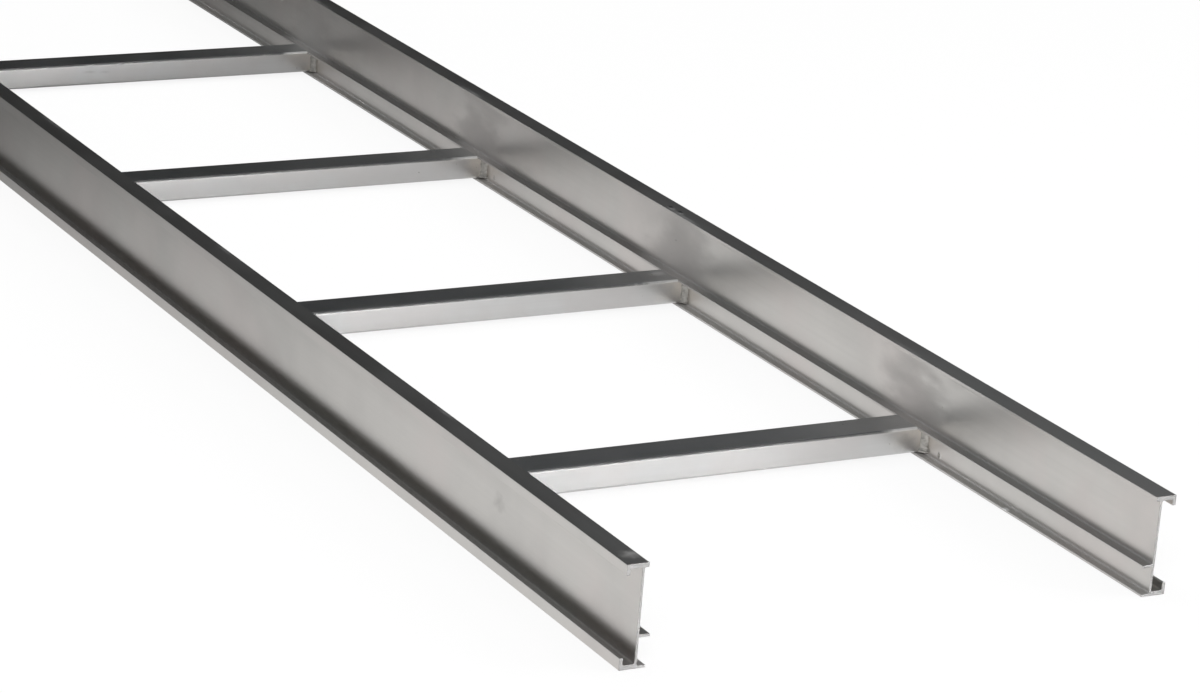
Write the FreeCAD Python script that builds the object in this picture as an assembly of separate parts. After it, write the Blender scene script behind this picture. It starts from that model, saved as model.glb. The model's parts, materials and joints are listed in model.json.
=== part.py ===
import FreeCAD, Part
import math
import os

# Straight section of welded aluminium cable ladder. Two extruded side rails face outwards,
# and tubular rungs are welded between them. Millimetres. X runs across the ladder, Y along
# the rails and Z up. The origin is on the floor plane, in the middle of the section's length
# and width. Rung 1 is the nearest to -Y.

Vector = FreeCAD.Vector

# Whole section
section_length = 3048.0      # 10 ft stock length
inside_width = 508.0         # between the inner faces of the two webs
rung_pitch = 457.2           # centre to centre
rung_count = math.floor(section_length / rung_pitch)   # as many as the length holds

# Side rail extrusion
rail_height = 92.1
web_thickness = 2.2
flange_reach = 16.4          # web inner face to the outer face of both lips
top_flange_thickness = 4.0
top_inner_overhang = 4.0     # how far the top flange stands in past the web
top_lip_height = 9.4
bottom_flange_thickness = 4.0
bottom_lip_height = 10.8
lip_thickness = 3.2
toe_thickness = 2.4          # the bottom flange's thinner part, inside the ladder
toe_reach = 8.0              # how far the toe stands in past the web
ledge_thickness = 2.4
ledge_reach = 10.0           # how far the rung ledge stands in past the web
edge_radius = 0.5            # outside corners of the extrusion
root_radius = 1.5            # inside corners of the extrusion

# Rung, a rectangular tube that seats under the ledge
rung_width = 38.1
rung_height = 25.4
rung_wall = 2.0
rung_corner_radius = 2.4
rung_gap = 1.6               # from the toe up to the rung

# Fillet welds on the two upright sides of each rung end
weld_leg = 5.0
weld_crown = 0.6             # how far the bead stands out past a straight fillet

# Places that follow from the sizes above
rung_bottom = toe_thickness + rung_gap
rung_top = rung_bottom + rung_height
ledge_underside = rung_top - ledge_thickness
web_inner_face = inside_width / 2
first_rung_y = -rung_pitch * (rung_count - 1) / 2

# An arc takes up no more than this share of the shorter side beside it
arc_share = 0.45


def rounded_face(corners):
    """A flat face whose corners, given as (point, radius), are rounded by tangent arcs."""
    arcs = []
    for i, (corner, radius) in enumerate(corners):
        back = corners[i - 1][0] - corner
        ahead = corners[(i + 1) % len(corners)][0] - corner
        room = arc_share * min(back.Length, ahead.Length)
        back.normalize()
        ahead.normalize()
        half_angle = back.getAngle(ahead) / 2
        setback = min(radius / math.tan(half_angle), room)
        radius = setback * math.tan(half_angle)
        inwards = (back + ahead).normalize()
        middle = corner + inwards * (radius / math.sin(half_angle) - radius)
        arcs.append((corner + back * setback, middle, corner + ahead * setback, radius))
    edges = []
    for i, (start, middle, end, radius) in enumerate(arcs):
        if radius > 0:
            edges.append(Part.Arc(start, middle, end).toShape())
        next_start = arcs[(i + 1) % len(arcs)][0]
        edges.append(Part.LineSegment(end, next_start).toShape())
    return Part.Face(Part.Wire(edges))


def rail_section():
    """The extrusion's outline for the +X rail, drawn on the plane of its -Y end."""
    outer = flange_reach
    lip_inner = flange_reach - lip_thickness
    floor_top = bottom_flange_thickness
    roof_underside = rail_height - top_flange_thickness
    seat_radius = min(rung_gap, root_radius)
    outline = [
        (-toe_reach, 0, edge_radius),
        (outer, 0, edge_radius),
        (outer, bottom_lip_height, edge_radius),
        (lip_inner, bottom_lip_height, edge_radius),
        (lip_inner, floor_top, root_radius),
        (web_thickness, floor_top, root_radius),
        (web_thickness, roof_underside, root_radius),
        (lip_inner, roof_underside, root_radius),
        (lip_inner, rail_height - top_lip_height, edge_radius),
        (outer, rail_height - top_lip_height, edge_radius),
        (outer, rail_height, edge_radius),
        (-top_inner_overhang, rail_height, edge_radius),
        (-top_inner_overhang, roof_underside, edge_radius),
        (0, roof_underside, root_radius),
        (0, rung_top, root_radius),
        (-ledge_reach, rung_top, edge_radius),
        (-ledge_reach, ledge_underside, edge_radius),
        (0, ledge_underside, 0),
        (0, toe_thickness, seat_radius),
        (-toe_reach, toe_thickness, edge_radius),
    ]
    end_y = -section_length / 2
    return rounded_face(
        [(Vector(web_inner_face + out, end_y, up), radius) for out, up, radius in outline]
    )


def right_rail():
    return rail_section().extrude(Vector(0, section_length, 0))


def left_rail():
    """The same extrusion, turned end for end."""
    return right_rail().rotate(Vector(0, 0, 0), Vector(0, 0, 1), 180)


def rung_section(inset, radius):
    """The tube's rounded rectangle, inset from its outer face, on the -X web's inner face."""
    half = rung_width / 2 - inset
    low = rung_bottom + inset
    high = rung_top - inset
    corners = [(-half, low), (half, low), (half, high), (-half, high)]
    return rounded_face([(Vector(-web_inner_face, y, z), radius) for y, z in corners])


def ledge_cope(side):
    """The notch that lets the rung's side walls run on under the rail's ledge to the web."""
    start_x = web_inner_face - ledge_reach if side > 0 else -web_inner_face
    return Part.makeBox(
        ledge_reach, rung_width, ledge_thickness,
        Vector(start_x, -rung_width / 2, ledge_underside),
    )


def fillet_weld(side, face):
    """A bead in the upright corner between the web (side) and the rung's wall (face)."""
    corner = Vector(side * web_inner_face, face * rung_width / 2, rung_bottom + rung_corner_radius)
    on_rung = corner - Vector(side * weld_leg, 0, 0)
    on_web = corner + Vector(0, face * weld_leg, 0)
    outwards = Vector(-side, face, 0).normalize()
    crown = (on_rung + on_web) / 2 + outwards * weld_crown
    bead = Part.Wire([
        Part.LineSegment(corner, on_rung).toShape(),
        Part.Arc(on_rung, crown, on_web).toShape(),
        Part.LineSegment(on_web, corner).toShape(),
    ])
    return Part.Face(bead).extrude(Vector(0, 0, ledge_underside - corner.z))


def rung():
    """One rung on the ladder's middle line, with the welds at its two ends."""
    along = Vector(inside_width, 0, 0)
    bore_radius = max(rung_corner_radius - rung_wall, 0)
    tube = rung_section(0, rung_corner_radius).extrude(along)
    tube = tube.cut(rung_section(rung_wall, bore_radius).extrude(along))
    tube = tube.cut([ledge_cope(side) for side in (-1, 1)])
    welds = [fillet_weld(side, face) for side in (-1, 1) for face in (-1, 1)]
    return tube.fuse(welds).removeSplitter()


def sub_parts():
    parts = {"left_rail": left_rail(), "right_rail": right_rail()}
    pattern_rung = rung()
    for i in range(rung_count):
        place = Vector(0, first_rung_y + i * rung_pitch, 0)
        parts[f"rung_{i + 1}"] = pattern_rung.translated(place)
    return parts


os.makedirs("parts", exist_ok=True)
for name, shape in sub_parts().items():
    shape.exportStep(f"parts/{name}.step")
    print(name, "valid", shape.isValid(), "solids", len(shape.Solids), "volume", round(shape.Volume, 1))
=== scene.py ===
import json
import math
import bpy
import numpy as np
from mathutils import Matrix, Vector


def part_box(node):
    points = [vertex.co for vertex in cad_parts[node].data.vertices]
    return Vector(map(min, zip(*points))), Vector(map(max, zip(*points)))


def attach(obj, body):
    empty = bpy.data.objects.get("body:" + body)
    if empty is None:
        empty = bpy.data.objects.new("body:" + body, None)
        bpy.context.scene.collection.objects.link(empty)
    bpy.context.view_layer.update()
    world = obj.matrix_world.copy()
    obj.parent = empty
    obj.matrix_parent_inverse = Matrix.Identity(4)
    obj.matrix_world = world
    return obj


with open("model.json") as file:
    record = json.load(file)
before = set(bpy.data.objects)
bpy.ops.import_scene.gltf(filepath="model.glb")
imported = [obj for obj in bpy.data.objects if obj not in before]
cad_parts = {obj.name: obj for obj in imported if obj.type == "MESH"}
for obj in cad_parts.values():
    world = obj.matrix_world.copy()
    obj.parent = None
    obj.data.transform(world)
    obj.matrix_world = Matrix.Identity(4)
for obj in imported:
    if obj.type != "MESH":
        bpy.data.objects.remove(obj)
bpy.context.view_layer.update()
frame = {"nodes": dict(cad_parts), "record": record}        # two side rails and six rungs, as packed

scene = bpy.context.scene
nodes = frame["nodes"]
slots = {s["node"]: s["material_slot"] for s in frame["record"]["subparts"]}
rungNames = sorted(n for n in nodes if n.startswith("rung"))
print("frame loaded:", len(nodes), "nodes")


# Where things lie, read from the frame

def spanOf(name):
    low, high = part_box(name)
    return np.array(low), np.array(high)


rungSpans = {name: spanOf(name) for name in rungNames}
rungMiddleY = {name: float(low[1] + high[1]) / 2 for name, (low, high) in rungSpans.items()}
firstRungY = rungMiddleY[rungNames[0]]
rungPitch = rungMiddleY[rungNames[1]] - firstRungY
rungHigh = rungSpans[rungNames[0]][1]
webInnerX = float(rungHigh[0])        # the rungs end on the webs
rungTopZ = float(rungHigh[2])
railHigh = spanOf("left_rail")[1]
railEndY = float(railHigh[1])
railTopZ = float(railHigh[2])

# Sizes of the joint that the frame doesn't give, as the solids have them
joint = dict(rungWidth=0.0381, ledge=0.0024, ledgeReach=0.010)
rungHalf = joint["rungWidth"] / 2
ledgeUnderZ = rungTopZ - joint["ledge"]

seed = 41
rng = np.random.default_rng(seed)


# Mesh helpers

def putPiece(name, points, faces, material):
    mesh = bpy.data.meshes.new(name)
    mesh.from_pydata(points.tolist(), [], faces)
    mesh.shade_smooth()
    mesh.materials.append(material)
    piece = bpy.data.objects.new(name, mesh)
    scene.collection.objects.link(piece)
    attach(piece, "root")


def ringCorners(rings, around):
    # the four corners of every quad between neighbouring rings, in order round the quad
    ring = np.arange(rings - 1)[:, None] * around
    here = np.arange(around)[None, :]
    ahead = (here + 1) % around
    return ring + here, ring + ahead, ring + around + ahead, ring + around + here


def tubeFaces(rings, around, turned):
    # quads between neighbouring rings, and one flat cap at each end
    quads = np.stack(ringCorners(rings, around), axis=-1).reshape(-1, 4)
    first = np.arange(around)[::-1]
    last = np.arange(around) + (rings - 1) * around
    if turned:
        quads, first, last = quads[:, ::-1], first[::-1], last[::-1]
    return quads, first, last


# Shader helpers. In the dictionaries below a range is (from, to) or (from, to, value at from, value
# at to), and a cloud is the scale, detail and roughness of a noise.

def newMaterial(name):
    mat = bpy.data.materials.new(name)
    mat.use_nodes = True
    mat.node_tree.nodes.clear()
    return mat


def addNode(tree, kind, **values):
    # values name either a property of the node or one of its inputs
    node = tree.nodes.new(kind)
    for key, value in values.items():
        if hasattr(node, key):
            setattr(node, key, value)
        else:
            node.inputs[key.replace("_", " ")].default_value = value
    return node


def feed(tree, socket, value):
    # a number or colour is written into the socket, anything else is linked to it
    if isinstance(value, (int, float, tuple)):
        socket.default_value = value
    else:
        tree.links.new(value, socket)


def mathNode(tree, operation, a, b=None, clamp=False):
    node = tree.nodes.new("ShaderNodeMath")
    node.operation = operation
    node.use_clamp = clamp
    feed(tree, node.inputs[0], a)
    if b is not None:
        feed(tree, node.inputs[1], b)
    return node.outputs[0]


def plus(tree, a, b):
    return mathNode(tree, "ADD", a, b)


def minus(tree, a, b):
    return mathNode(tree, "SUBTRACT", a, b)


def times(tree, a, b):
    return mathNode(tree, "MULTIPLY", a, b)


def vectorMath(tree, operation, a, b):
    node = tree.nodes.new("ShaderNodeVectorMath")
    node.operation = operation
    feed(tree, node.inputs[0], a)
    feed(tree, node.inputs[1], b)
    return node


def lengthOf(tree, vector):
    node = addNode(tree, "ShaderNodeVectorMath", operation="LENGTH")
    tree.links.new(vector, node.inputs[0])
    return node.outputs["Value"]


def partsOf(tree, vector):
    node = tree.nodes.new("ShaderNodeSeparateXYZ")
    tree.links.new(vector, node.inputs[0])
    return node.outputs


def mapRange(tree, value, low, high, toLow=0.0, toHigh=1.0, smooth=False):
    node = tree.nodes.new("ShaderNodeMapRange")
    node.interpolation_type = "SMOOTHSTEP" if smooth else "LINEAR"
    for name, number in (("From Min", low), ("From Max", high), ("To Min", toLow), ("To Max", toHigh)):
        feed(tree, node.inputs[name], number)
    tree.links.new(value, node.inputs["Value"])
    return node.outputs["Result"]


def mixColour(tree, factor, a, b):
    node = tree.nodes.new("ShaderNodeMix")
    node.data_type = "RGBA"
    feed(tree, node.inputs["Factor"], factor)
    feed(tree, node.inputs[6], a)
    feed(tree, node.inputs[7], b)
    return node.outputs[2]


def noise(tree, vector, scale, detail=2.0, roughness=0.5):
    node = addNode(tree, "ShaderNodeTexNoise", Detail=detail, Roughness=roughness)
    tree.links.new(vector, node.inputs["Vector"])
    feed(tree, node.inputs["Scale"], scale)
    return node.outputs["Fac"]


def greyRamp(tree, value, stops):
    # stops are (place, level) pairs
    node = tree.nodes.new("ShaderNodeValToRGB")
    elements = node.color_ramp.elements
    while len(elements) < len(stops):
        elements.new(0.5)
    for element, (place, level) in zip(elements, stops):
        element.position = place
        element.color = (level, level, level, 1)
    tree.links.new(value, node.inputs["Fac"])
    return node.outputs["Color"]


def newGroup(name, inputs, outputs):
    # inputs: (name, kind, default), outputs: (name, kind)
    group = bpy.data.node_groups.new(name, "ShaderNodeTree")
    for title, kind, default in inputs:
        socket = group.interface.new_socket(title, in_out="INPUT", socket_type=kind)
        if default is not None:
            socket.default_value = default
    for title, kind in outputs:
        group.interface.new_socket(title, in_out="OUTPUT", socket_type=kind)
    return group, group.nodes.new("NodeGroupInput").outputs, group.nodes.new("NodeGroupOutput").inputs


def placeGroup(tree, group, vector, **values):
    node = tree.nodes.new("ShaderNodeGroup")
    node.node_tree = group
    tree.links.new(vector, node.inputs["Vector"])
    for key, value in values.items():
        node.inputs[key.replace("_", " ")].default_value = value
    return node.outputs


# Lines drawn by the die

dieLines = dict(fine=(1.0, 3.0, 0.6), broad=(0.13, 2.0, 0.5), fineShare=0.35, broadShare=0.65)


def dieLinesGroup():
    # noise squeezed across the run and stretched along it, fine and broad
    group, ins, outs = newGroup(
        "dieLines",
        [("Vector", "NodeSocketVector", None), ("Spacing", "NodeSocketVector", (1, 1, 1))],
        [("Height", "NodeSocketFloat"), ("Tone", "NodeSocketFloat")],
    )
    stretched = vectorMath(group, "MULTIPLY", ins["Vector"], ins["Spacing"]).outputs[0]
    fine = noise(group, stretched, *dieLines["fine"])
    broad = noise(group, stretched, *dieLines["broad"])
    group.links.new(fine, outs["Height"])
    fineTone = times(group, fine, dieLines["fineShare"])
    broadTone = times(group, broad, dieLines["broadShare"])
    group.links.new(plus(group, fineTone, broadTone), outs["Tone"])
    return group


# Marks from handling

handlingMarks = dict(
    smudgeDetail=4.0, smudgeRoughness=0.6, smudge=(0.36, 0.68), bendScale=5.0, bend=0.2,
    scratch=(0.0, 0.008, 1.0, 0.0), patch=(14.0, 2.0), scratchPatch=(0.57, 0.68),
    speckScale=170.0, speck=(0.05, 0.12, 1.0, 0.0), speckPatch=(0.6, 0.66),
)


def handlingGroup():
    # smudges are a cloud, scratches are the thin borders of bent cells, and specks are the middles
    # of small cells; scratches and specks show only in patches
    group, ins, outs = newGroup(
        "handlingMarks",
        [("Vector", "NodeSocketVector", None), ("Smudge Size", "NodeSocketFloat", 9.0),
         ("Scratch Size", "NodeSocketFloat", 26.0)],
        [("Smudge", "NodeSocketFloat"), ("Scratch", "NodeSocketFloat"), ("Speck", "NodeSocketFloat")],
    )
    vector = ins["Vector"]
    cloud = noise(group, vector, ins["Smudge Size"], handlingMarks["smudgeDetail"],
                  handlingMarks["smudgeRoughness"])
    group.links.new(mapRange(group, cloud, *handlingMarks["smudge"], smooth=True), outs["Smudge"])
    bent = addNode(group, "ShaderNodeTexNoise", Scale=handlingMarks["bendScale"], Detail=1.0)
    group.links.new(vector, bent.inputs["Vector"])
    shifted = addNode(group, "ShaderNodeVectorMath", operation="MULTIPLY_ADD")
    group.links.new(bent.outputs["Color"], shifted.inputs[0])
    shifted.inputs[1].default_value = [handlingMarks["bend"]] * 3
    group.links.new(vector, shifted.inputs[2])
    cells = addNode(group, "ShaderNodeTexVoronoi", feature="DISTANCE_TO_EDGE")
    group.links.new(shifted.outputs[0], cells.inputs["Vector"])
    group.links.new(ins["Scratch Size"], cells.inputs["Scale"])
    line = mapRange(group, cells.outputs["Distance"], *handlingMarks["scratch"])
    patch = noise(group, vector, *handlingMarks["patch"])
    scratched = mapRange(group, patch, *handlingMarks["scratchPatch"])
    group.links.new(times(group, line, scratched), outs["Scratch"])
    dots = addNode(group, "ShaderNodeTexVoronoi", Scale=handlingMarks["speckScale"])
    group.links.new(vector, dots.inputs["Vector"])
    speck = mapRange(group, dots.outputs["Distance"], *handlingMarks["speck"])
    specked = mapRange(group, patch, *handlingMarks["speckPatch"])
    group.links.new(times(group, speck, specked), outs["Speck"])
    return group


# Rubbed corners

edgeWear = dict(samples=4, lean=(0.995, 0.86), cloud=(160.0, 3.0), worn=(0.35, 0.6, 0.3, 1.0))


def edgeWearGroup():
    # how far a softened normal leans from the face's own, broken up by a fine cloud
    group, ins, outs = newGroup(
        "rubbedEdges",
        [("Vector", "NodeSocketVector", None), ("Width", "NodeSocketFloat", 0.0008)],
        [("Edge", "NodeSocketFloat"), ("Soft Normal", "NodeSocketVector")],
    )
    soft = addNode(group, "ShaderNodeBevel", samples=edgeWear["samples"])
    group.links.new(ins["Width"], soft.inputs["Radius"])
    flat = group.nodes.new("ShaderNodeNewGeometry").outputs["True Normal"]
    lean = vectorMath(group, "DOT_PRODUCT", soft.outputs[0], flat).outputs["Value"]
    edge = mapRange(group, lean, *edgeWear["lean"])
    worn = mapRange(group, noise(group, ins["Vector"], *edgeWear["cloud"]), *edgeWear["worn"])
    group.links.new(mathNode(group, "MULTIPLY", edge, worn, clamp=True), outs["Edge"])
    group.links.new(soft.outputs[0], outs["Soft Normal"])
    return group


# What the welding left. Places are measured from the web's inner face and the rung's top.

weldHeat = dict(
    inside=(0.0004, 0.0009, 1.0, 0.0),                                 # the webs' outsides stay clean
    wiped=(1.0, 0.45, 1.3), cloud=(34.0, 4.0, 0.6), wobble=(0.3, 0.7, 0.6, 1.35),
    smut=(0.25, 1.15, 1.0, 0.0), heart=(0.2, 0.6, 1.0, 0.0), aboveLedge=(-0.005, -0.002, 0.1, 1.0),
    straw=(0.15, 0.75, 1.0, 0.0), underLedge=(-0.003, -0.001, 1.0, 0.0),
    # ash: partly pale weld ash, partly a painted reflection that lightens the toe tops
    ashAndSheenCloud=(60.0, 3.0, 0.6), ashAndSheenWobble=(0.3, 0.7, 0.7, 1.4), ashAndSheenTop=(0.0040, 0.0052, 1.0, 0.0),
    ashAndSheenReach=(0.02, 0.08, 1.0, 0.35),
)


def weldHeatGroup():
    # The distance to the nearest rung end, folded at half a rung pitch, over a reach that a cloud
    # makes uneven. Smut and its heart fade with it, nearly all of them above the ledge. Straw fades
    # with it below the ledge's top. Pale ash lies on the toes, most of it near the rungs; it is partly weld
    # ash and partly a painted reflection that lightens the toe tops.
    group, ins, outs = newGroup(
        "weldHeat",
        [("Vector", "NodeSocketVector", None), ("Reach", "NodeSocketFloat", 0.05)],
        [("Smut", "NodeSocketFloat"), ("Heart", "NodeSocketFloat"), ("Straw", "NodeSocketFloat"),
         ("AshAndSheen", "NodeSocketFloat")],
    )
    at = partsOf(group, ins["Vector"])
    along = mathNode(group, "PINGPONG", minus(group, at["Y"], firstRungY), rungPitch / 2)
    side = minus(group, mathNode(group, "ABSOLUTE", at["X"]), webInnerX)
    up = minus(group, at["Z"], rungTopZ)
    place = group.nodes.new("ShaderNodeCombineXYZ")
    for name, value in (("X", side), ("Y", along), ("Z", up)):
        group.links.new(value, place.inputs[name])
    far = lengthOf(group, place.outputs[0])
    inside = mapRange(group, side, *weldHeat["inside"])

    ashAndSheenWobble = mapRange(group, noise(group, ins["Vector"], *weldHeat["ashAndSheenCloud"]), *weldHeat["ashAndSheenWobble"])
    low = mapRange(group, at["Z"], *weldHeat["ashAndSheenTop"])
    ashAndSheenNear = mapRange(group, times(group, along, ashAndSheenWobble), *weldHeat["ashAndSheenReach"])
    group.links.new(times(group, times(group, low, ashAndSheenNear), inside), outs["AshAndSheen"])

    wiped = vectorMath(group, "MULTIPLY", ins["Vector"], weldHeat["wiped"]).outputs[0]
    wobble = mapRange(group, noise(group, wiped, *weldHeat["cloud"]), *weldHeat["wobble"])
    near = mathNode(group, "DIVIDE", far, times(group, ins["Reach"], wobble))
    above = times(group, inside, mapRange(group, up, *weldHeat["aboveLedge"]))
    under = times(group, mapRange(group, up, *weldHeat["underLedge"]), inside)
    for title, key, where in (("Smut", "smut", above), ("Heart", "heart", above), ("Straw", "straw", under)):
        mask = mapRange(group, near, *weldHeat[key], smooth=True)
        group.links.new(times(group, mask, where), outs[title])
    return group


# Single marks

markRim = dict(cloud=(1.7, 3.0), ragged=(0.3, 0.7, -0.3, 0.3))


def markGroup():
    # one mark at a place: one inside an ellipsoid and none outside it, with a ragged rim
    group, ins, outs = newGroup(
        "singleMark",
        [("Vector", "NodeSocketVector", None), ("Place", "NodeSocketVector", (0, 0, 0)),
         ("Size", "NodeSocketVector", (0.01, 0.01, 0.01)), ("Softness", "NodeSocketFloat", 0.5)],
        [("Mask", "NodeSocketFloat")],
    )
    away = vectorMath(group, "SUBTRACT", ins["Vector"], ins["Place"]).outputs[0]
    scaled = vectorMath(group, "DIVIDE", away, ins["Size"]).outputs[0]
    ragged = mapRange(group, noise(group, scaled, *markRim["cloud"]), *markRim["ragged"])
    far = plus(group, lengthOf(group, scaled), ragged)
    start = minus(group, 1.0, ins["Softness"])
    group.links.new(mapRange(group, far, start, 1.0, 1.0, 0.0), outs["Mask"])
    return group


# Sawn ends

sawCut = dict(depth=(0.0001, 0.0003, 1.0, 0.0), slant=(900.0, 0.0, 420.0), distortion=1.5, detail=2.0)


def sawCutGroup():
    # a mask at the two end planes, and slanting saw marks
    group, ins, outs = newGroup(
        "sawCut",
        [("Vector", "NodeSocketVector", None), ("End", "NodeSocketFloat", 1.0)],
        [("Mask", "NodeSocketFloat"), ("Height", "NodeSocketFloat")],
    )
    inwards = minus(group, ins["End"], mathNode(group, "ABSOLUTE", partsOf(group, ins["Vector"])["Y"]))
    group.links.new(mapRange(group, inwards, *sawCut["depth"]), outs["Mask"])
    slant = vectorMath(group, "MULTIPLY", ins["Vector"], sawCut["slant"]).outputs[0]
    marks = addNode(group, "ShaderNodeTexWave", bands_direction="DIAGONAL", Scale=1.0,
                    Distortion=sawCut["distortion"], Detail=sawCut["detail"])
    group.links.new(slant, marks.inputs["Vector"])
    group.links.new(marks.outputs["Fac"], outs["Height"])
    return group


groups = dict(lines=dieLinesGroup(), handling=handlingGroup(), edges=edgeWearGroup(),
              heat=weldHeatGroup(), mark=markGroup(), saw=sawCutGroup())
print("shader groups:", ", ".join(sorted(groups)))


# Finishes

def aluminium(name, look, marks):
    # mill-finish metal: drawn lines, smudges, scratches, rubbed edges, what the welding left, sawn
    # ends, and single marks where the real one has them
    mat = newMaterial(name)
    tree = mat.node_tree
    place = tree.nodes.new("ShaderNodeTexCoord").outputs["Object"]
    lines = placeGroup(tree, groups["lines"], place, Spacing=look["spacing"])
    handling = placeGroup(tree, groups["handling"], place, Smudge_Size=look["smudgeSize"])
    edges = placeGroup(tree, groups["edges"], place, Width=look["edgeWidth"])
    heat = placeGroup(tree, groups["heat"], place, Reach=look["smutReach"])
    saw = placeGroup(tree, groups["saw"], place, End=railEndY)

    # colours, each laid over the last
    cast = mapRange(tree, noise(tree, place, *look["castCloud"]), *look["castRange"], smooth=True)
    cleaned = times(tree, heat["Straw"], look["cleaned"])
    smut = times(tree, heat["Smut"], minus(tree, 1.0, cleaned))
    layers = [
        (cast, look["cast"]),
        (times(tree, handling["Smudge"], look["smudgeTone"]), look["smudge"]),
        (times(tree, smut, look["smutTone"]), look["smut"]),
        (times(tree, heat["Straw"], look["strawTone"]), look["straw"]),
        (times(tree, handling["Speck"], look["speckTone"]), look["smut"]),
        (times(tree, edges["Edge"], look["edgeTone"]), look["edge"]),
        (saw["Mask"], look["sawn"]),
        # ash on the toes: partly weld ash, partly painted reflection
        (times(tree, heat["AshAndSheen"], look["ashAndSheenTone"]), look["ashAndSheen"]),
    ]
    tone = mapRange(tree, lines["Tone"], *look["toneRange"])
    colour = mixColour(tree, tone, look["dark"], look["light"])
    for factor, layer in layers:
        colour = mixColour(tree, factor, colour, layer)

    # oxide from the weld isn't bare metal, nor is the ash with its painted reflection on the toes
    bare = minus(tree, 1.0, times(tree, heat["Heart"], look["oxide"]))
    bare = minus(tree, bare, times(tree, heat["AshAndSheen"], look["ashAndSheenChalk"]))
    roughened = [(handling["Smudge"], look["smudgeRough"]), (smut, look["smutRough"]),
                 (heat["AshAndSheen"], look["ashAndSheenRough"]), (saw["Mask"], look["sawRough"])]
    if "corner" in look:
        # the tube's upper corners get painted shade, near black, that hides the window's reflection along
        # them, and a painted highlight next to the welds
        lean = partsOf(tree, edges["Soft Normal"])
        slant = times(tree, mathNode(tree, "ABSOLUTE", lean["Y"]), lean["Z"])
        corner = mapRange(tree, slant, *look["cornerRange"])
        clean = minus(tree, 1.0, heat["Smut"])
        paintedCornerShade = times(tree, times(tree, corner, clean), look["cornerTone"])
        colour = mixColour(tree, paintedCornerShade, colour, look["corner"])
        # painted highlight: the upper corners next to the welds are made near-white
        paintedGlint = times(tree, times(tree, corner, heat["Smut"]), look["paintedGlintTone"])
        colour = mixColour(tree, paintedGlint, colour, look["paintedGlint"])
        bare = minus(tree, bare, times(tree, paintedGlint, look["paintedGlintChalk"]))
        roughened.append((paintedCornerShade, look["cornerRough"]))

    dent = None
    for mark in marks:
        mask = placeGroup(tree, groups["mark"], place, Place=mark["at"], Size=mark["size"],
                          Softness=mark["softness"])["Mask"]
        colour = mixColour(tree, times(tree, mask, mark["strength"]), colour, mark["tone"])
        depth = times(tree, mask, mark["depth"])
        dent = depth if dent is None else plus(tree, dent, depth)
        if mark["chalk"] > 0:
            bare = times(tree, bare, minus(tree, 1.0, times(tree, mask, mark["chalk"])))

    rough = mapRange(tree, lines["Tone"], *look["toneRange"], look["rough"] - look["roughSway"],
                     look["rough"] + look["roughSway"])
    for mask, amount in roughened:
        rough = plus(tree, rough, times(tree, mask, amount))

    bump = addNode(tree, "ShaderNodeBump", Strength=look["bump"], Distance=look["bumpHeight"])
    tree.links.new(edges["Soft Normal"], bump.inputs["Normal"])
    height = minus(tree, lines["Height"], times(tree, handling["Scratch"], look["scratchDepth"]))
    height = plus(tree, height, times(tree, saw["Height"], saw["Mask"]))
    tree.links.new(minus(tree, height, dent), bump.inputs["Height"])

    metal = addNode(tree, "ShaderNodeBsdfPrincipled")
    tree.links.new(colour, metal.inputs["Base Color"])
    tree.links.new(rough, metal.inputs["Roughness"])
    tree.links.new(bare, metal.inputs["Metallic"])
    tree.links.new(bump.outputs["Normal"], metal.inputs["Normal"])
    out = tree.nodes.new("ShaderNodeOutputMaterial")
    tree.links.new(metal.outputs[0], out.inputs["Surface"])
    return mat


railLook = dict(
    spacing=(1500, 1.6, 1500), toneRange=(0.35, 0.65),
    dark=(0.628, 0.611, 0.586, 1), light=(0.662, 0.645, 0.620, 1),
    cast=(0.659, 0.619, 0.597, 1), castCloud=(9.0, 3.0), castRange=(0.42, 0.62, 0.0, 0.7),
    smudge=(0.557, 0.546, 0.528, 1), smudgeSize=8.0, smudgeTone=0.4, smudgeRough=0.04,
    smut=(0.53, 0.51, 0.50, 1), smutReach=0.074, smutTone=0.42, smutRough=0.34, speckTone=0.5,
    straw=(0.74, 0.69, 0.61, 1), strawTone=0.4, cleaned=0.0,
    edge=(0.80, 0.79, 0.77, 1), edgeWidth=0.0008, edgeTone=0.35,
    sawn=(0.37, 0.365, 0.36, 1), sawRough=0.1,
    # ash: partly weld ash, partly a painted reflection lightening the toe tops
    ashAndSheen=(0.54, 0.535, 0.53, 1), ashAndSheenTone=0.7, ashAndSheenRough=0.35, ashAndSheenChalk=0.35, oxide=0.06,
    rough=0.30, roughSway=0.01, bump=0.06, bumpHeight=0.0001, scratchDepth=0.5,
)
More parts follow.
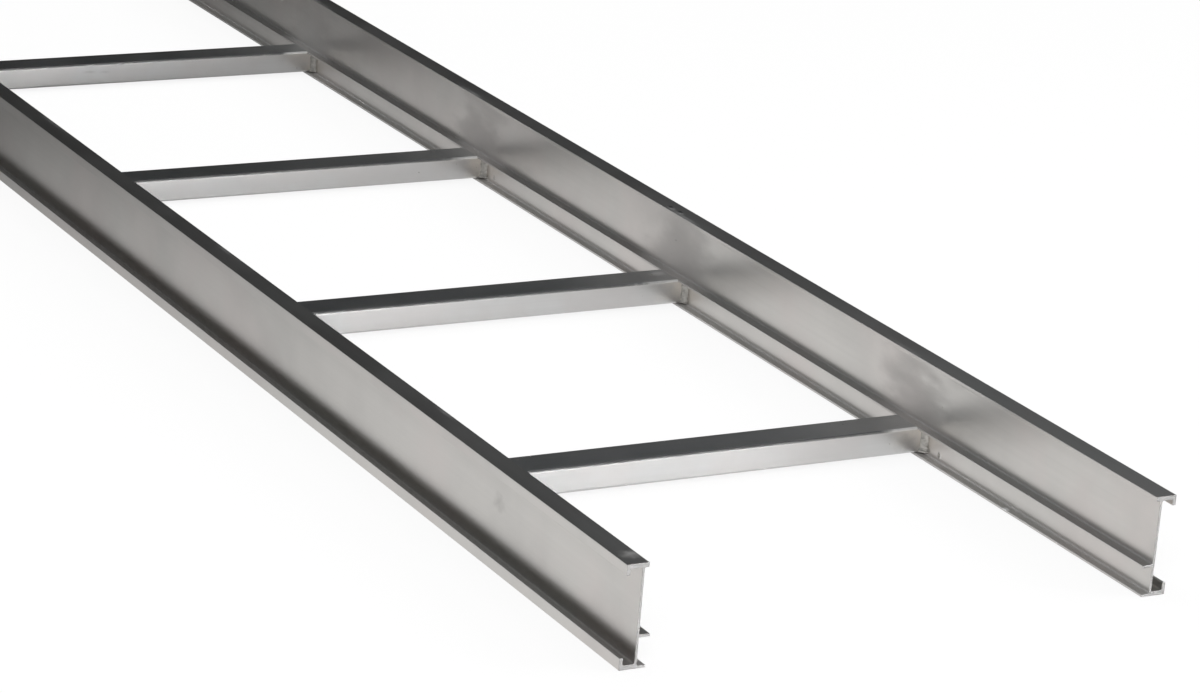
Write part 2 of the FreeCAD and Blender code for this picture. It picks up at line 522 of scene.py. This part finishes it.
railMarks = [
    # two pits on the right flange, each with a pale rim of painted highlight
    dict(at=(0.2553, -0.6600, railTopZ), size=(0.0035, 0.007, 0.003), softness=0.5,
         tone=(0.80, 0.80, 0.80, 1), strength=0.6, depth=0.0, chalk=0.15),
    dict(at=(0.2565, -0.6564, railTopZ), size=(0.003, 0.006, 0.003), softness=0.5,
         tone=(0.12, 0.12, 0.12, 1), strength=0.9, depth=1.5, chalk=0.0),
    dict(at=(0.2560, -0.6780, railTopZ), size=(0.003, 0.006, 0.003), softness=0.5,
         tone=(0.80, 0.80, 0.80, 1), strength=0.6, depth=0.0, chalk=0.12),
    dict(at=(0.2572, -0.6745, railTopZ), size=(0.0028, 0.005, 0.003), softness=0.5,
         tone=(0.13, 0.13, 0.13, 1), strength=0.85, depth=1.2, chalk=0.0),
    # a nick on the right toe
    dict(at=(0.2475, -1.3110, 0.0024), size=(0.003, 0.005, 0.002), softness=0.4,
         tone=(0.9, 0.9, 0.9, 1), strength=0.8, depth=3.0, chalk=0.4),
    # a smudge on the left web and a rubbed patch at the near end of its flange
    dict(at=(-0.2562, -1.2760, 0.0517), size=(0.004, 0.012, 0.010), softness=0.9,
         tone=(0.30, 0.29, 0.28, 1), strength=0.35, depth=0.0, chalk=0.0),
    dict(at=(-0.2560, -1.5040, railTopZ), size=(0.012, 0.010, 0.003), softness=0.9,
         tone=(0.80, 0.79, 0.77, 1), strength=0.7, depth=0.3, chalk=0.18),
    # two dark spots beside the first weld, the second with a painted highlight at its edge, and one beside
    # the third
    dict(at=(webInnerX, -1.1672, 0.0090), size=(0.003, 0.0045, 0.0050), softness=0.6,
         tone=(0.32, 0.315, 0.30, 1), strength=0.6, depth=0.0, chalk=0.0),
    dict(at=(webInnerX, -1.1864, 0.0088), size=(0.003, 0.0018, 0.0038), softness=0.5,
         tone=(0.14, 0.14, 0.13, 1), strength=0.8, depth=1.0, chalk=0.0),
    dict(at=(webInnerX, -1.1900, 0.0086), size=(0.003, 0.0012, 0.0028), softness=0.5,
         tone=(0.92, 0.91, 0.89, 1), strength=0.8, depth=0.0, chalk=0.0),
    dict(at=(webInnerX, -0.2706, 0.0103), size=(0.003, 0.0030, 0.0035), softness=0.6,
         tone=(0.30, 0.295, 0.285, 1), strength=0.5, depth=0.0, chalk=0.0),
]
rungLook = dict(
    railLook, spacing=(1.6, 1500, 1500),
    dark=(0.594, 0.592, 0.588, 1), light=(0.630, 0.628, 0.624, 1),
    cast=(0.622, 0.598, 0.586, 1), castCloud=(12.0, 3.0),
    smudge=(0.54, 0.54, 0.54, 1), smudgeSize=12.0,
    smut=(0.50, 0.49, 0.47, 1), smutReach=0.058, smutTone=0.15, smutRough=0.10, oxide=0.04,
    straw=(0.84, 0.79, 0.71, 1), strawTone=0.6, cleaned=0.8, edgeTone=0.1,
    # painted shade on the upper corners away from the welds, and a painted highlight on them next to the
    # welds
    corner=(0.12, 0.12, 0.12, 1), cornerTone=0.75, cornerRange=(0.05, 0.22), cornerRough=0.4,
    paintedGlint=(0.95, 0.94, 0.93, 1), paintedGlintTone=0.8, paintedGlintChalk=0.4,
)
rungMarks = [
    # a dark patch on the front of rung 1, two rubs on rung 4, and a pale patch on rung 2
    dict(at=(0.2320, -1.1620, 0.0140), size=(0.013, 0.004, 0.011), softness=0.9,
         tone=(0.34, 0.33, 0.31, 1), strength=0.35, depth=0.0, chalk=0.0),
    dict(at=(-0.0362, 0.2096, 0.0199), size=(0.010, 0.003, 0.002), softness=0.8,
         tone=(0.35, 0.35, 0.35, 1), strength=0.4, depth=0.2, chalk=0.0),
    dict(at=(-0.0173, 0.2096, 0.0188), size=(0.008, 0.003, 0.002), softness=0.8,
         tone=(0.38, 0.38, 0.38, 1), strength=0.35, depth=0.2, chalk=0.0),
    dict(at=(0.2330, -0.6800, rungTopZ), size=(0.012, 0.008, 0.003), softness=0.8,
         tone=(0.85, 0.85, 0.85, 1), strength=0.45, depth=0.0, chalk=0.1),
]


def weldMetal(look):
    # grey and brighter clouds, a fine grain, and a faint straw tint in the grain
    mat = newMaterial("weldBead")
    tree = mat.node_tree
    place = tree.nodes.new("ShaderNodeTexCoord").outputs["Object"]
    cloud = noise(tree, place, *look["cloud"])
    grain = noise(tree, place, *look["grain"])
    colour = mixColour(tree, mapRange(tree, cloud, *look["toneRange"]), look["grey"], look["bright"])
    colour = mixColour(tree, mapRange(tree, grain, *look["strawRange"]), colour, look["straw"])
    rough = mapRange(tree, cloud, *look["roughRange"])
    bump = addNode(tree, "ShaderNodeBump", Strength=look["bump"], Distance=look["bumpHeight"])
    tree.links.new(grain, bump.inputs["Height"])
    metal = addNode(tree, "ShaderNodeBsdfPrincipled", Metallic=1.0)
    tree.links.new(colour, metal.inputs["Base Color"])
    tree.links.new(rough, metal.inputs["Roughness"])
    tree.links.new(bump.outputs["Normal"], metal.inputs["Normal"])
    out = tree.nodes.new("ShaderNodeOutputMaterial")
    tree.links.new(metal.outputs[0], out.inputs["Surface"])
    return mat


weldLook = dict(
    cloud=(260.0, 4.0, 0.6), grain=(1400.0, 2.0), grey=(0.34, 0.33, 0.31, 1), bright=(0.50, 0.485, 0.46, 1),
    toneRange=(0.35, 0.65), straw=(0.50, 0.46, 0.40, 1), strawRange=(0.55, 0.75, 0.0, 0.35),
    roughRange=(0.3, 0.7, 0.58, 0.42), bump=0.3, bumpHeight=0.0001,
)

finishes = {
    "rail_aluminium": aluminium("railMillFinish", railLook, railMarks),
    "rung_aluminium": aluminium("rungMillFinish", rungLook, rungMarks),
}
weldFinish = weldMetal(weldLook)
for name, node in nodes.items():
    node.data.materials.clear()
    node.data.materials.append(finishes[slots[name]])
print("finishes on", len(nodes), "nodes")


# Weld beads

weld = dict(
    leg=0.0060, crown=0.0007, crownPower=0.7, sunk=0.0003, foot=0.0029, overlap=0.0002,
    ripplePitch=0.0017, rippleDepth=0.00022, bow=0.7,
    wander=0.04, slowWaves=2.2, quickWaves=5.3, quickShare=0.6, quickPhase=2.1, phaseMost=6,
    bulb=0.32, bulbUp=0.0022, bulbHeight=0.002, cap=0.0026, capLeast=0.05, rings=96, across=15,
)


def weldBead(side, face, middleY, phase):
    # A fillet's skin over its height z and its width u, from the rung's wall (u=0) to the web
    # (u=1). Across, it is the straight line between the two legs, pushed out by a sine crown. Up,
    # the legs wander by two slow sines, swell at the foot, and round off at both ends like a
    # quarter circle. Each ripple is a parabola whose place lags with the square of the distance
    # from the bead's middle. The ring closes through a point inside the corner.
    foot, head = weld["foot"], ledgeUnderZ + weld["overlap"]
    z = np.linspace(foot, head, weld["rings"])[:, None]
    u = np.linspace(0.0, 1.0, weld["across"])[None, :]
    turn = 2 * np.pi * (z - foot) / (head - foot)
    quick = weld["quickShare"] * np.sin(weld["quickWaves"] * turn + weld["quickPhase"] * phase)
    wander = 1 + weld["wander"] * (np.sin(weld["slowWaves"] * turn + phase) + quick)
    wander = wander + weld["bulb"] * np.exp(-((z - foot - weld["bulbUp"]) / weld["bulbHeight"]) ** 2)
    fromEnd = np.minimum(z - foot, head - z + weld["cap"])
    inFromEnd = np.clip(fromEnd / weld["cap"], weld["capLeast"], 1.0)
    roundOff = np.sqrt(1 - (1 - inFromEnd) ** 2)
    cycle = z / weld["ripplePitch"] + weld["bow"] * (2 * u - 1) ** 2 + phase
    ripple = weld["rippleDepth"] * (1 - (2 * (cycle % 1.0) - 1) ** 2)
    out = (weld["crown"] + ripple) * np.sin(np.pi * u) ** weld["crownPower"] * roundOff / math.sqrt(2)
    leg = weld["leg"] * wander * roundOff
    inwards = np.concatenate([leg * (1 - u) + out, np.zeros_like(z)], axis=1) - weld["sunk"]
    along = np.concatenate([leg * u + out, np.zeros_like(z)], axis=1) - weld["sunk"]
    up = np.broadcast_to(z, inwards.shape)
    points = np.stack([side * (webInnerX - inwards), middleY + face * (rungHalf + along), up], axis=-1)
    return points.reshape(-1, 3), tubeFaces(weld["rings"], weld["across"] + 1, side * face > 0)


def weldBeadsOn(name):
    points, faces = [], []
    for side in (-1, 1):
        for face in (-1, 1):
            phase = rng.uniform(0, weld["phaseMost"])
            skin, (quads, first, last) = weldBead(side, face, rungMiddleY[name], phase)
            start = sum(len(p) for p in points)
            points.append(skin)
            faces += (quads + start).tolist() + [(first + start).tolist(), (last + start).tolist()]
    putPiece("weld_beads_" + name, np.concatenate(points), faces, weldFinish)


for name in rungNames:
    weldBeadsOn(name)
print("weld beads on", len(rungNames), "rungs")


# Spatter: drops of metal that froze on the surfaces round each joint

spatter = dict(
    perJoint=11, smallest=0.00025, largest=0.0008, spread=0.028, farthest=0.08, squash=0.5, rings=5, around=9,
    pastLedge=0.002, topInset=0.004,                                   # on the rung's top
    ledgeBand=(0.003, 0.008),                                          # on the ledge's top
    webHalf=0.05, webFrom=0.003, webRise=0.4, webMost=0.03,            # on the web, above the rung
    wallFrom=0.009, wallBand=(0.009, 0.024),                           # on the rung's walls
)
bigDrops = [                        # single drops, (place, outward direction, radius)
    ((0.2248, -0.6828, rungTopZ), (0, 0, 1), 0.0013),
    ((webInnerX, -1.1866, 0.0092), (-1, 0, 0), 0.0018),
    ((webInnerX, -1.1700, 0.0076), (-1, 0, 0), 0.0015),
]


def dropPlaces():
    # each drop lies on one of four surfaces near the joint: rung top, ledge top, web, rung wall
    count = spatter["perJoint"]
    rows = np.arange(count)
    topZ = np.full(count, rungTopZ)
    upwards = np.tile([0.0, 0.0, 1.0], (count, 1))
    places, normals, radii = [], [], []
    for middleY in rungMiddleY.values():
        for side in (-1, 1):
            surface = rng.integers(0, 4, count)
            far = np.minimum(rng.exponential(spatter["spread"], count), spatter["farthest"])
            across = rng.uniform(-1, 1, count)
            ledgeIn = rng.uniform(*spatter["ledgeBand"], count)
            wallZ = rng.uniform(*spatter["wallBand"], count)
            share = rng.uniform(0, 1, count) ** 2
            face = np.sign(across)
            rungX = side * (webInnerX - joint["ledgeReach"] - spatter["pastLedge"] - far)
            rungY = middleY + across * (rungHalf - spatter["topInset"])
            webZ = rungTopZ + spatter["webFrom"] + np.minimum(spatter["webRise"] * far, spatter["webMost"])
            wallX = side * (webInnerX - spatter["wallFrom"] - far)
            choices = np.stack([
                np.stack([rungX, rungY, topZ], axis=-1),
                np.stack([side * (webInnerX - ledgeIn), middleY + face * far, topZ], axis=-1),
                np.stack([np.full(count, side * webInnerX), middleY + across * spatter["webHalf"], webZ],
                         axis=-1),
                np.stack([wallX, middleY + face * rungHalf, wallZ], axis=-1),
            ])
            outward = np.stack([
                upwards, upwards, np.tile([-float(side), 0.0, 0.0], (count, 1)),
                np.stack([0 * face, face, 0 * face], axis=-1),
            ])
            places.append(choices[surface, rows])
            normals.append(outward[surface, rows])
            radii.append(share * (spatter["largest"] - spatter["smallest"]) + spatter["smallest"])
    for place, outward, radius in bigDrops:
        places.append(np.array([place], float))
        normals.append(np.array([outward], float))
        radii.append(np.array([radius]))
    return np.concatenate(places), np.concatenate(normals), np.concatenate(radii)


def spatterDrops():
    # every drop is a sphere (latitude by longitude) pressed flat along its surface's normal
    places, normals, radii = dropPlaces()
    rings, around = spatter["rings"], spatter["around"]
    tilt = np.linspace(0, np.pi, rings + 2)[1:-1, None]
    turn = np.arange(around)[None, :] * 2 * np.pi / around
    ball = np.stack([np.sin(tilt) * np.cos(turn), np.sin(tilt) * np.sin(turn),
                     np.cos(tilt) + 0 * turn], axis=-1).reshape(-1, 3)
    ball = np.concatenate([ball, [[0, 0, 1], [0, 0, -1]]])
    height = ball @ normals.T
    flat = ball[:, None, :] - (1 - spatter["squash"]) * height[:, :, None] * normals[None, :, :]
    points = places[:, None, :] + radii[:, None, None] * flat.transpose(1, 0, 2)

    here, ahead, aheadNext, hereNext = ringCorners(rings, around)
    quads = np.stack([here, hereNext, aheadNext, ahead], axis=-1).reshape(-1, 4)
    top, bottom, lastRing = rings * around, rings * around + 1, (rings - 1) * around
    ring = np.arange(around)
    turned = (ring + 1) % around
    topFan = np.stack([np.full(around, top), ring, turned], axis=-1)
    bottomFan = np.stack([np.full(around, bottom), lastRing + turned, lastRing + ring], axis=-1)
    starts = np.arange(len(places)) * len(ball)
    faces = [(part[None] + starts[:, None, None]).reshape(-1, part.shape[1]).tolist()
             for part in (quads, topFan, bottomFan)]
    putPiece("weld_spatter", points.reshape(-1, 3), faces[0] + faces[1] + faces[2], weldFinish)


spatterDrops()
print("weld spatter placed")


# Studio

white = (1, 1, 1, 1)
studio = dict(
    floorSize=60.0, floor=(0.95, 0.95, 0.95, 1), shadowShare=0.14,
    # how bright the floor shows in metal, by y less this share of x, from the near end to the far end
    lean=0.85,
    pool=[(-2.0, 0.87), (-1.2, 0.86), (-0.75, 0.80), (-0.3, 0.59), (0.0, 0.43), (0.2, 0.28), (0.4, 0.12),
          (0.9, 0.07), (1.4, 0.25), (2.0, 0.25), (2.4, 0.10)],
)


def studioFloor():
    # white to the camera, a graded pool of light to mirrored rays, and a matt share that keeps the
    # object's shadow
    size = studio["floorSize"]
    mesh = bpy.data.meshes.new("studioFloor")
    corners = [(-size, -size, 0), (size, -size, 0), (size, size, 0), (-size, size, 0)]
    mesh.from_pydata(corners, [], [(0, 1, 2, 3)])
    floor = bpy.data.objects.new("studioFloor", mesh)
    scene.collection.objects.link(floor)
    mat = newMaterial("paleFloor")
    tree = mat.node_tree
    path = tree.nodes.new("ShaderNodeLightPath").outputs
    at = partsOf(tree, tree.nodes.new("ShaderNodeNewGeometry").outputs["Position"])
    along = minus(tree, at["Y"], times(tree, at["X"], studio["lean"]))
    start, end = studio["pool"][0][0], studio["pool"][-1][0]
    stops = [((place - start) / (end - start), level) for place, level in studio["pool"]]
    pool = greyRamp(tree, mapRange(tree, along, start, end), stops)
    mirrored = mathNode(tree, "MAXIMUM", path["Is Glossy Ray"], path["Is Transmission Ray"])
    glow = addNode(tree, "ShaderNodeEmission", Color=white)
    tree.links.new(plus(tree, path["Is Camera Ray"], times(tree, mirrored, pool)), glow.inputs["Strength"])
    matt = addNode(tree, "ShaderNodeBsdfDiffuse", Color=studio["floor"])
    seen = mathNode(tree, "MAXIMUM", path["Is Camera Ray"], mirrored)
    mix = tree.nodes.new("ShaderNodeMixShader")
    tree.links.new(times(tree, seen, 1 - studio["shadowShare"]), mix.inputs["Fac"])
    tree.links.new(matt.outputs[0], mix.inputs[1])
    tree.links.new(glow.outputs[0], mix.inputs[2])
    out = tree.nodes.new("ShaderNodeOutputMaterial")
    tree.links.new(mix.outputs[0], out.inputs["Surface"])
    mesh.materials.append(mat)


room = dict(
    # behind: dim, rising outwards and upwards, stronger to the left and with a glow at the far left
    backLevel=-1.0, backAcross=1.05, backUp=1.44, backLeast=0.0, backMost=0.34,
    leftGain=(0.1, -0.3, 1.0, 1.5), leftGlow=(-0.46, -0.55, 0.0, 0.20), backTint=(0.95, 1.0, 1.04),
    # in front: a bright window, by height and from left to right
    front=(-0.15, -0.60), windowUp=[(0.0, 10.0), (0.08, 10.0), (0.18, 1.6), (0.35, 0.5), (1.0, 0.35)],
    windowAcross=[(0.0, 0.4), (0.5, 0.5), (0.66, 2.8), (0.69, 4.6), (0.715, 4.0), (0.74, 1.4),
                  (0.78, 0.6), (1.0, 0.5)],
    plain=(0.4, 0.4, 0.4, 1),
)


def studioWorld():
    # Mirrored rays see the room. Its back is the level plus shares of the direction's |x| and z,
    # kept between least and most and multiplied by the gain to the left. It is never under the
    # left glow, and it is tinted. The front is the window's two ramps multiplied. Matt surfaces
    # get a plain even light, and the camera sees white.
    world = bpy.data.worlds.new("softRoom")
    world.use_nodes = True
    scene.world = world
    tree = world.node_tree
    tree.nodes.clear()
    toward = partsOf(tree, tree.nodes.new("ShaderNodeTexCoord").outputs["Generated"])
    across = times(tree, mathNode(tree, "ABSOLUTE", toward["X"]), room["backAcross"])
    up = times(tree, toward["Z"], room["backUp"])
    back = plus(tree, plus(tree, across, up), room["backLevel"])
    back = mathNode(tree, "MINIMUM", mathNode(tree, "MAXIMUM", back, room["backLeast"]), room["backMost"])
    back = times(tree, back, mapRange(tree, toward["X"], *room["leftGain"]))
    back = mathNode(tree, "MAXIMUM", back, mapRange(tree, toward["X"], *room["leftGlow"]))
    back = vectorMath(tree, "MULTIPLY", back, room["backTint"]).outputs[0]
    window = greyRamp(tree, mapRange(tree, toward["X"], -1.0, 1.0), room["windowAcross"])
    front = times(tree, greyRamp(tree, toward["Z"], room["windowUp"]), window)
    light = mixColour(tree, mapRange(tree, toward["Y"], *room["front"], smooth=True), back, front)
    path = tree.nodes.new("ShaderNodeLightPath").outputs
    mirrored = mathNode(tree, "MAXIMUM", path["Is Glossy Ray"], path["Is Transmission Ray"])
    shade = mixColour(tree, mirrored, room["plain"], light)
    shade = mixColour(tree, path["Is Camera Ray"], shade, white)
    glow = tree.nodes.new("ShaderNodeBackground")
    tree.links.new(shade, glow.inputs["Color"])
    out = tree.nodes.new("ShaderNodeOutputWorld")
    tree.links.new(glow.outputs[0], out.inputs["Surface"])


def aimed(obj, target):
    # turns the object's -Z to the target
    away = np.array(obj.location) - np.array(target)
    flat = math.hypot(away[0], away[1])
    obj.rotation_euler = (math.atan2(flat, away[2]), 0, math.atan2(away[0], -away[1]))


lamps = [
    dict(name="keyPanel", place=(-2.6, -4.6, 3.4), size=2.2, watts=140),
    dict(name="fillPanel", place=(3.2, -2.2, 3.0), size=2.4, watts=60),
    dict(name="overheadPanel", place=(0.0, 0.6, 4.2), size=3.6, watts=70),
]
lampTarget = (0, -0.2, 0)


def studioLamps():
    # the metal mirrors the room instead of the lamps
    for lamp in lamps:
        light = bpy.data.lights.new(lamp["name"], "AREA")
        light.size = lamp["size"]
        light.energy = lamp["watts"]
        obj = bpy.data.objects.new(lamp["name"], light)
        scene.collection.objects.link(obj)
        obj.location = lamp["place"]
        aimed(obj, lampTarget)
        obj.visible_glossy = False


# the place, turn and lens that the photo's rail and rung edges give
camera = dict(place=(-1.8405, -4.1871, 1.3063), turn=(71.470, -4.432, -28.369), lens=124.48, film=36.0,
              clipEnd=200)


def studioCamera():
    lens = bpy.data.cameras.new("photoView")
    lens.lens = camera["lens"]
    lens.sensor_fit = "HORIZONTAL"
    lens.sensor_width = camera["film"]
    lens.clip_end = camera["clipEnd"]
    obj = bpy.data.objects.new("photoView", lens)
    scene.collection.objects.link(obj)
    obj.location = camera["place"]
    obj.rotation_euler = [math.radians(a) for a in camera["turn"]]
    scene.camera = obj


studioFloor()
studioWorld()
studioLamps()
studioCamera()
scene.view_settings.view_transform = "Standard"
print("studio set")
